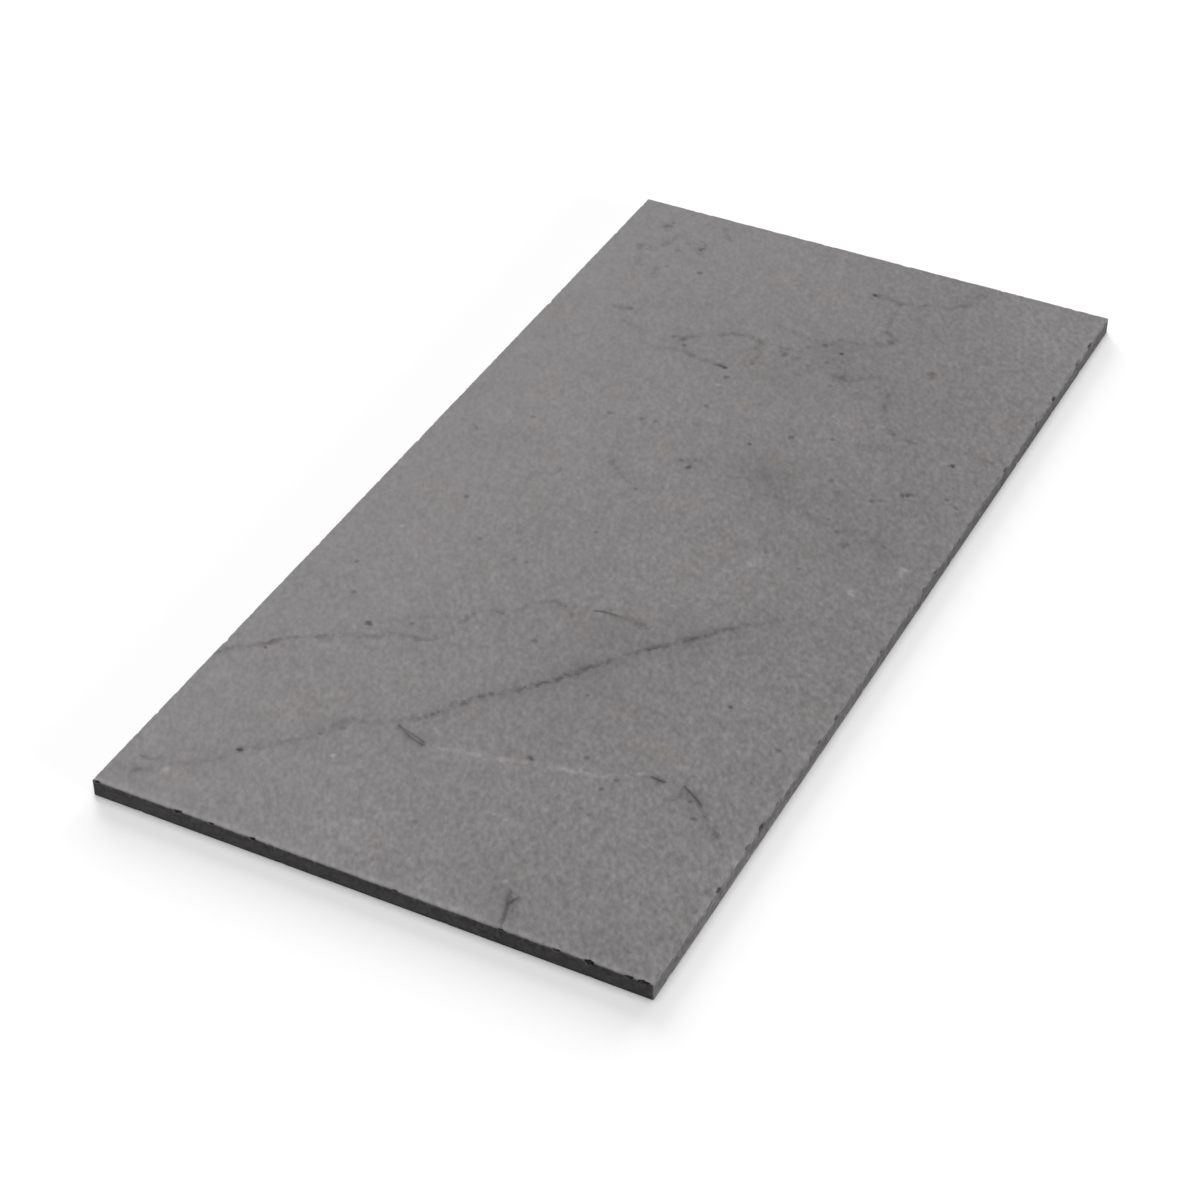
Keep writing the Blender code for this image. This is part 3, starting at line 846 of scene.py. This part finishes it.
# %% Dirt and painted shade, sawn edges, and painted light and shade along the arrises
# The first two numbers paint a highlight along the face's front and right arrises.
FRONT_HIGHLIGHT, RIGHT_HIGHLIGHT, RIM_PLACE, RIM_WIDTH = 0.18, 0.09, 2.0, 1.1
SAWN_FROM, SAWN_OVER = 0.15, 0.75
SIDE_RAGGED, SIDE_LUMP = 3.4, 3.0
FINE_RAGGED, FINE_LUMP = 1.6, 1.2
BITE_LIFT, LIFT_SPREAD = 3.2, 0.6
TONE_DEPTHS = (0.0, 1.0, 2.0, 3.2, 4.8, 6.5, 9.5)
FRONT_TONES = (1.30, 0.92, 0.78, 0.98, 1.05, 0.98, 0.92)
NEAR_TONES = (1.40, 1.32, 1.12, 1.00, 0.92, 1.05, 1.22)
FAR_TONES = (1.42, 1.28, 1.05, 0.93, 0.83, 0.80, 0.80)
SIDE_LIGHT_AND_SHADE = {
    "front": (FRONT_TONES, FRONT_TONES), "right": (NEAR_TONES, FAR_TONES),
    "back": (NEAR_TONES, NEAR_TONES), "left": (FAR_TONES, NEAR_TONES),
}
store("dirt_and_shade", "FLOAT", dirt_and_shade)
store("broken_dirt_and_shade", "FLOAT", broken_dirt_and_shade)
sawn_part = np.clip((THICKNESS - home[:, 2] - SAWN_FROM) / SAWN_OVER, 0.0, 1.0)
store("sawn", "FLOAT", sawn_part ** 2 * (3.0 - 2.0 * sawn_part))


def painted_highlight_of(distance):
    """A painted highlight: a soft pale band a little way in from an arris."""
    return np.exp(-((distance - RIM_PLACE) / RIM_WIDTH) ** 2)


# A painted highlight along the front and right arrises of the honed face.
painted_light = FRONT_HIGHLIGHT * painted_highlight_of(home[:, 1] + HALF_LENGTH) + RIGHT_HIGHLIGHT * painted_highlight_of(HALF_WIDTH - home[:, 0])
# On the sawn edges, painted light and shade in bands by depth below the arris: a painted highlight at the
# arris, a darker ragged band below it that drops lower under each bite, and on the right edge darker low
# down towards its far end.
ragged_depth = THICKNESS - home[:, 2] + SIDE_RAGGED * grit(home, SIDE_LUMP, apart=9.0)
ragged_depth += FINE_RAGGED * grit(home, FINE_LUMP, apart=5.0)
side_light_and_shade = np.zeros(len(home))
for number, (side, along, _) in enumerate(edge_frames(home)):
    lift = np.zeros(len(home))
    for place, length, reach in UPPER_BITES[side]:
        spread = LIFT_SPREAD * length
        lift = np.maximum(lift, BITE_LIFT * reach * np.exp(-((along - place) / spread) ** 2))
    start_tones, end_tones = SIDE_LIGHT_AND_SHADE[side]
    part = np.clip(0.5 + along / half_length_of(side), 0.0, 1.0)
    deeper = ragged_depth + lift
    both = (np.interp(deeper, TONE_DEPTHS, start_tones), np.interp(deeper, TONE_DEPTHS, end_tones))
    side_light_and_shade = np.where(side_of == number, both[0] * (1.0 - part) + both[1] * part, side_light_and_shade)
store("painted_light", "FLOAT", np.where(on_face, painted_light, side_light_and_shade - 1.0))
print("stored the open, broken and sawn parts")

# %% [markdown]
# ## The honed finish
# Honed limestone is matt to satin: light goes into the fine crystals and comes back soft. Close to, it is a
# mix of grey grains of many sizes. The finish is built in layers, as the stone is: an even grey, then
# grain, then clouds and painted light, then spots and seams, then dirt and painted shade in the open and
# broken places. Each layer is a few nodes, and small helpers keep the formulas readable.

# %% Helpers for building a finish
finish = bpy.data.materials.new("honed_limestone")
finish.use_nodes = True
tree = finish.node_tree
shader = tree.nodes["Principled BSDF"]


def feed(socket, value):
    """Links a socket's output into an input, or sets a plain value."""
    if isinstance(value, bpy.types.NodeSocket):
        tree.links.new(value, socket)
    else:
        socket.default_value = value


def node(kind, *terms, **settings):
    """A new node of the finish with its settings, its first inputs fed in order."""
    made = tree.nodes.new(kind)
    for name, value in settings.items():
        setattr(made, name, value)
    for socket, term in zip(made.inputs, terms):
        feed(socket, term)
    return made


def calc(operation, *terms, clamp=False):
    """One step of arithmetic on sockets and numbers."""
    return node("ShaderNodeMath", *terms, operation=operation, use_clamp=clamp).outputs[0]


def stored(name, output="Fac"):
    """A value that was stored at the tile's points."""
    return node("ShaderNodeAttribute", attribute_name=name).outputs[output]


def ease(value, low, high, at_low=0.0, at_high=1.0):
    """Eases from one value to another between two bounds."""
    bounds = (low, high, at_low, at_high)
    return node("ShaderNodeMapRange", value, *bounds, interpolation_type="SMOOTHSTEP").outputs[0]


place = node("ShaderNodeTexCoord").outputs["Object"]


def grain(size, detail, roughness=0.6, where=None):
    """Smooth noise whose largest lumps are about the given size in millimetres, around zero."""
    made = node("ShaderNodeTexNoise", where or place, noise_dimensions="3D", normalize=True)
    for name, value in (("Scale", 1.0 / (size * MM)), ("Detail", detail), ("Roughness", roughness)):
        feed(made.inputs[name], value)
    return calc("SUBTRACT", made.outputs[0], 0.5)


print("helpers ready")

# %% [markdown]
# The grain of this stone is drawn out a little in one direction, as it lay in its bed. A Mapping node of
# the texture kind first turns the places, then shrinks them along that direction, which stretches the
# pattern. A second one tilts them, so that the even lattice inside the noise never lines up with the face.

# %% Direction of the grain
BEDDING_TURN = 27.4
BEDDING_STRETCH = 1.75
TILT = (0.6, 0.5, 0.7)
bedded = node("ShaderNodeMapping", place, vector_type="TEXTURE")
feed(bedded.inputs["Rotation"], (0.0, 0.0, math.radians(BEDDING_TURN)))
feed(bedded.inputs["Scale"], (1.0, BEDDING_STRETCH, 1.0))
askew = node("ShaderNodeMapping", bedded.outputs[0])
feed(askew.inputs["Rotation"], TILT)
bedding = askew.outputs[0]
print("grain drawn out", BEDDING_STRETCH, "times")

# %% [markdown]
# Three sizes of grain multiply one another: fine speckle, coarser mottle and broad drift. The speckle is
# bolder towards the front right corner, which one dot product with the place gives.

# %% Grain of the stone
SPECKLE, MOTTLE, DRIFT = 0.80, 0.40, 0.12
BOLDNESS, BOLDER_TOWARDS = 0.80, (2.2, -0.5, 0.0)
bolder = node("ShaderNodeVectorMath", place, BOLDER_TOWARDS, operation="DOT_PRODUCT")
boldness = calc("ADD", bolder.outputs["Value"], BOLDNESS)
speckle = calc("MULTIPLY", grain(2.4, 2.0, 0.5, bedding), boldness)
mottle = grain(5.4, 2.0, 0.75, bedding)
drift = grain(40.0, 2.0, 0.60)
tone = calc("ADD", 1.0, stored("cloud"))
for layer, amount in ((speckle, SPECKLE), (mottle, MOTTLE), (drift, DRIFT)):
    tone = calc("MULTIPLY", tone, calc("MULTIPLY_ADD", layer, amount, 1.0))
# Painted light: the highlight along the front and right arrises, and the light and shade banded on the sawn
# edges.
tone = calc("MULTIPLY", tone, calc("ADD", stored("painted_light"), 1.0))
print("grain made of", len(tree.nodes), "nodes")

# %% Draw the seams
WAVER, FINE_WAVER = 2.6, 3.3
SEAM_SOFTNESS, SWELL = 6.2, 2.0
LEAST_PRESENCE, MOST_PRESENCE, PRESENCE_SPAN = 0.25, 1.55, 0.13
waver = calc("MULTIPLY", grain(6.0, 1.0), WAVER)
waver = calc("ADD", waver, calc("MULTIPLY", grain(2.3, 2.0), FINE_WAVER))
width_change = calc("MULTIPLY_ADD", grain(4.0, 2.0), SWELL, 1.0)
presence = ease(grain(6.5, 2.0, 0.7), -PRESENCE_SPAN, PRESENCE_SPAN, LEAST_PRESENCE, MOST_PRESENCE)
seam_tone = 0.0
for number in range(len(layers)):
    split = node("ShaderNodeSeparateXYZ", stored(f"seams_{number}", "Vector"))
    gap = calc("ABSOLUTE", calc("ADD", split.outputs[0], waver))
    half_width = calc("MULTIPLY", split.outputs[2], width_change)
    line = ease(calc("DIVIDE", gap, half_width), 0.0, SEAM_SOFTNESS, 1.0, 0.0)
    seam_tone = calc("ADD", seam_tone, calc("MULTIPLY", line, split.outputs[1]))
seam_tone = calc("MULTIPLY", seam_tone, presence)
print("seams drawn from", len(layers), "layers")

# %% Draw the spots, and read the dirt and painted shade
SPOT_RAGGED, SPOT_FROM, SPOT_FULL = 1.1, 0.05, 0.75
split = node("ShaderNodeSeparateXYZ", stored("spots", "Vector"))
edge = calc("MULTIPLY_ADD", grain(1.8, 3.0, 0.7), SPOT_RAGGED, split.outputs[0])
spot_tone = calc("MULTIPLY", ease(edge, SPOT_FROM, SPOT_FULL), split.outputs[1])
marks = calc("ADD", seam_tone, spot_tone)
dark_marks = calc("MULTIPLY", marks, 1.0, clamp=True)
pale_marks = calc("MULTIPLY", marks, -1.0, clamp=True)
dirt_and_shade_lying = stored("dirt_and_shade")
broken_dirt_and_painted_shade = stored("broken_dirt_and_shade")
sawn = stored("sawn")
print("marks and dirt ready")

# %% [markdown]
# ## Colour
# The colours are mixed in the order in which they lie: the grey stone first, then its sawn sides, pale
# calcite, dark clay, and last the dirt and painted shade in what is broken or open.

# %% Mix the colours
STONE = (0.2010, 0.1940, 0.1975, 1.0)
WARM_STONE = (0.214, 0.193, 0.182, 1.0)
CLAY = (0.061, 0.054, 0.053, 1.0)
CALCITE = (0.370, 0.365, 0.360, 1.0)
# A dark colour for dirt and for painted shade in hollows; it also darkens the blotches of the sawn edges.
DIRT_AND_SHADE = (0.030, 0.025, 0.022, 1.0)
CLAY_STRENGTH, CALCITE_STRENGTH, SAWN_TONE = 0.87, 0.50, 1.22
WARM_FROM, WARM_FULL, MOST_WARMTH = 0.02, 0.30, 0.5


def mixed(part, first, second):
    """Two colours mixed by a part between 0 and 1."""
    made = node("ShaderNodeMix", part, data_type="RGBA", clamp_factor=True)
    feed(made.inputs[6], first)
    feed(made.inputs[7], second)
    return made.outputs[2]


def scaled(colour, factor):
    """A colour made darker or lighter by a factor."""
    made = node("ShaderNodeVectorMath", colour, operation="SCALE")
    feed(made.inputs["Scale"], factor)
    return made.outputs[0]


warmth = ease(grain(26.0, 2.0), WARM_FROM, WARM_FULL, 0.0, MOST_WARMTH)
colour = mixed(warmth, STONE, WARM_STONE)
colour = scaled(colour, tone)
colour = scaled(colour, calc("MULTIPLY_ADD", sawn, SAWN_TONE - 1.0, 1.0))
colour = mixed(calc("MULTIPLY", pale_marks, CALCITE_STRENGTH), colour, CALCITE)
colour = mixed(calc("MULTIPLY", dark_marks, CLAY_STRENGTH), colour, CLAY)
print("stone, calcite and clay mixed")

# %% Sawn edges and broken places
SAW_MARKS, EDGE_BLOTCH, BROKEN_DIRT_AND_SHADE = 0.50, 0.25, 0.95
SAW_STRETCH = (0.12, 0.12, 1.0)
BLOTCH_FROM, BLOTCH_FULL = -0.02, 0.16
stretched = node("ShaderNodeMapping", place)
feed(stretched.inputs["Scale"], SAW_STRETCH)
saw_grain = grain(1.2, 3.0, 0.7, stretched.outputs[0])
saw_marks = calc("MULTIPLY", saw_grain, calc("MULTIPLY", sawn, SAW_MARKS))
edge_blotch = ease(grain(5.0, 3.0, 0.75), BLOTCH_FROM, BLOTCH_FULL)
colour = scaled(colour, calc("ADD", saw_marks, 1.0))
colour = mixed(calc("MULTIPLY", calc("MULTIPLY", edge_blotch, sawn), EDGE_BLOTCH), colour, DIRT_AND_SHADE)
# Dirt and painted shade in the bites and along the worn arris.
colour = mixed(calc("MULTIPLY", broken_dirt_and_painted_shade, BROKEN_DIRT_AND_SHADE), colour, DIRT_AND_SHADE)
# Dirt and painted shade in the pits and cracks.
colour = mixed(dirt_and_shade_lying, colour, DIRT_AND_SHADE)
feed(shader.inputs["Base Color"], colour)
print("finish has", len(tree.nodes), "nodes")

# %% [markdown]
# ## Gloss and touch
# The honed face is smooth with a faint satin sheen. Seams, pits and sawn sides are rougher, because clay
# and broken grains don't take the hone. A very shallow bump gives the grain something for low light to
# catch.

# %% Roughness and fine bump
HONED, SAWN_ROUGH, ROUGH_CHANGE = 0.62, 0.86, 0.10
GLARE, BUMP_STRENGTH, BUMP_DEPTH, SAW_DEPTH = 0.25, 0.35, 0.00012, 3.0
roughness = calc("MULTIPLY_ADD", speckle, ROUGH_CHANGE, HONED)
rough_parts = calc("MAXIMUM", calc("MAXIMUM", sawn, dirt_and_shade_lying), dark_marks)
roughness = calc("MULTIPLY_ADD", calc("SUBTRACT", SAWN_ROUGH, roughness), rough_parts, roughness)
feed(shader.inputs["Roughness"], roughness)
feed(shader.inputs["Specular IOR Level"], GLARE)
bump = node("ShaderNodeBump", BUMP_STRENGTH, BUMP_DEPTH)
feed(bump.inputs["Height"], calc("MULTIPLY_ADD", saw_marks, SAW_DEPTH, speckle))
feed(shader.inputs["Normal"], bump.outputs[0])
mesh.materials.append(finish)
print("roughness from", HONED, "on the face to", SAWN_ROUGH, "on the sawn edges")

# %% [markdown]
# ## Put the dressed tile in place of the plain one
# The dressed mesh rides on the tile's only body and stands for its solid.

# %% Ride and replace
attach(tile, "root")
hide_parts("limestone_tile")

# %% [markdown]
# ## The studio
# The tile lies on a white table. Two broad lights stand low behind it and throw the soft shadow towards the
# front and the right. A third on the right lifts the right edge, a wide one overhead lights the face, and
# an even glow from above fills the rest. The front edge stays dark, because nothing bright stands in front
# of it. The two low lights behind cast no glare, so the honed face keeps its colour from every side. The
# helpers of the finish also build the sky, once their tree is the sky's.

# %% White floor
FLOOR_SIZE = 24.0
FLOOR_DROP = 0.0002
FLOOR_WHITE, FLOOR_ROUGH, FLOOR_GLARE = 0.94, 0.9, 0.1
ground = bmesh.new()
bmesh.ops.create_grid(ground, x_segments=1, y_segments=1, size=FLOOR_SIZE / 2)
bmesh.ops.translate(ground, vec=(0.0, 0.0, -FLOOR_DROP), verts=ground.verts)
floor_mesh = bpy.data.meshes.new("studio_floor")
ground.to_mesh(floor_mesh)
ground.free()
floor = placed("studio_floor", floor_mesh)
white = bpy.data.materials.new("white_floor")
white.use_nodes = True
paint = white.node_tree.nodes["Principled BSDF"]
feed(paint.inputs["Base Color"], (FLOOR_WHITE, FLOOR_WHITE, FLOOR_WHITE, 1.0))
feed(paint.inputs["Roughness"], FLOOR_ROUGH)
feed(paint.inputs["Specular IOR Level"], FLOOR_GLARE)
floor_mesh.materials.append(white)
floor.visible_diffuse = False
floor.visible_glossy = False
print("floor", FLOOR_SIZE, "m wide")

# %% Four soft lights
def soft_sun(name, strength, spread, towards, height, glare_free=False):
    """A sun of wide angle that stands in the given direction, at a height in degrees above the floor."""
    lamp = bpy.data.lights.new(name, "SUN")
    lamp.energy = strength
    lamp.angle = math.radians(spread)
    sun = placed(name, lamp)
    flat = Vector((*towards, 0.0)).normalized() * math.cos(math.radians(height))
    aim = Vector((flat.x, flat.y, math.sin(math.radians(height))))
    sun.rotation_euler = aim.to_track_quat("Z", "Y").to_euler()
    sun.visible_glossy = not glare_free


soft_sun("back_light", 2.75, 34.0, (-0.643, 0.766), 16.0, glare_free=True)
soft_sun("low_back_light", 1.85, 24.0, (0.0, 1.0), 9.0, glare_free=True)
soft_sun("side_light", 1.50, 10.0, (0.995, -0.100), 7.5)
soft_sun("top_light", 1.78, 56.0, (-0.500, 0.866), 88.0)
print("four lights set")

# %% Even glow from above
GLOW, HORIZON = 0.15, 0.01
studio = bpy.data.worlds.new("studio")
studio.use_nodes = True
bpy.context.scene.world = studio
tree = studio.node_tree
upwards = node("ShaderNodeSeparateXYZ", node("ShaderNodeTexCoord").outputs["Generated"])
above = node("ShaderNodeMapRange", upwards.outputs["Z"], -HORIZON, HORIZON, 0.0, GLOW)
seen = node("ShaderNodeLightPath").outputs["Is Camera Ray"]
background = tree.nodes["Background"]
feed(background.inputs["Strength"], calc("MAXIMUM", above.outputs[0], seen))
feed(background.inputs["Color"], (1.0, 1.0, 1.0, 1.0))
print("glow", GLOW)

# %% [markdown]
# ## The camera
# A long lens looks down over the tile's front right corner. The view is set by the direction to the camera,
# its distance and the place that it looks at.

# %% Camera
AZIMUTH, ELEVATION, ROLL = 27.302, 38.725, -0.333
DISTANCE = 1.53996
LENS = 88.246
AIM = Vector((0.004656, -0.068940, 0.0095))
lens = bpy.data.cameras.new("camera")
lens.lens = LENS
lens.sensor_width = 36.0
lens.clip_start = 0.05
lens.clip_end = 60.0
camera = placed("camera", lens)
turn, rise = math.radians(AZIMUTH), math.radians(ELEVATION)
back = Vector((math.sin(turn) * math.cos(rise), -math.cos(turn) * math.cos(rise), math.sin(rise)))
camera.location = AIM + back * DISTANCE
camera.rotation_mode = "QUATERNION"
roll = Quaternion((0.0, 0.0, 1.0), math.radians(ROLL))
camera.rotation_quaternion = (-back).to_track_quat("-Z", "Y") @ roll
bpy.context.scene.camera = camera
bpy.context.scene.view_settings.view_transform = "Standard"
print("camera at", tuple(round(part, 4) for part in camera.location))
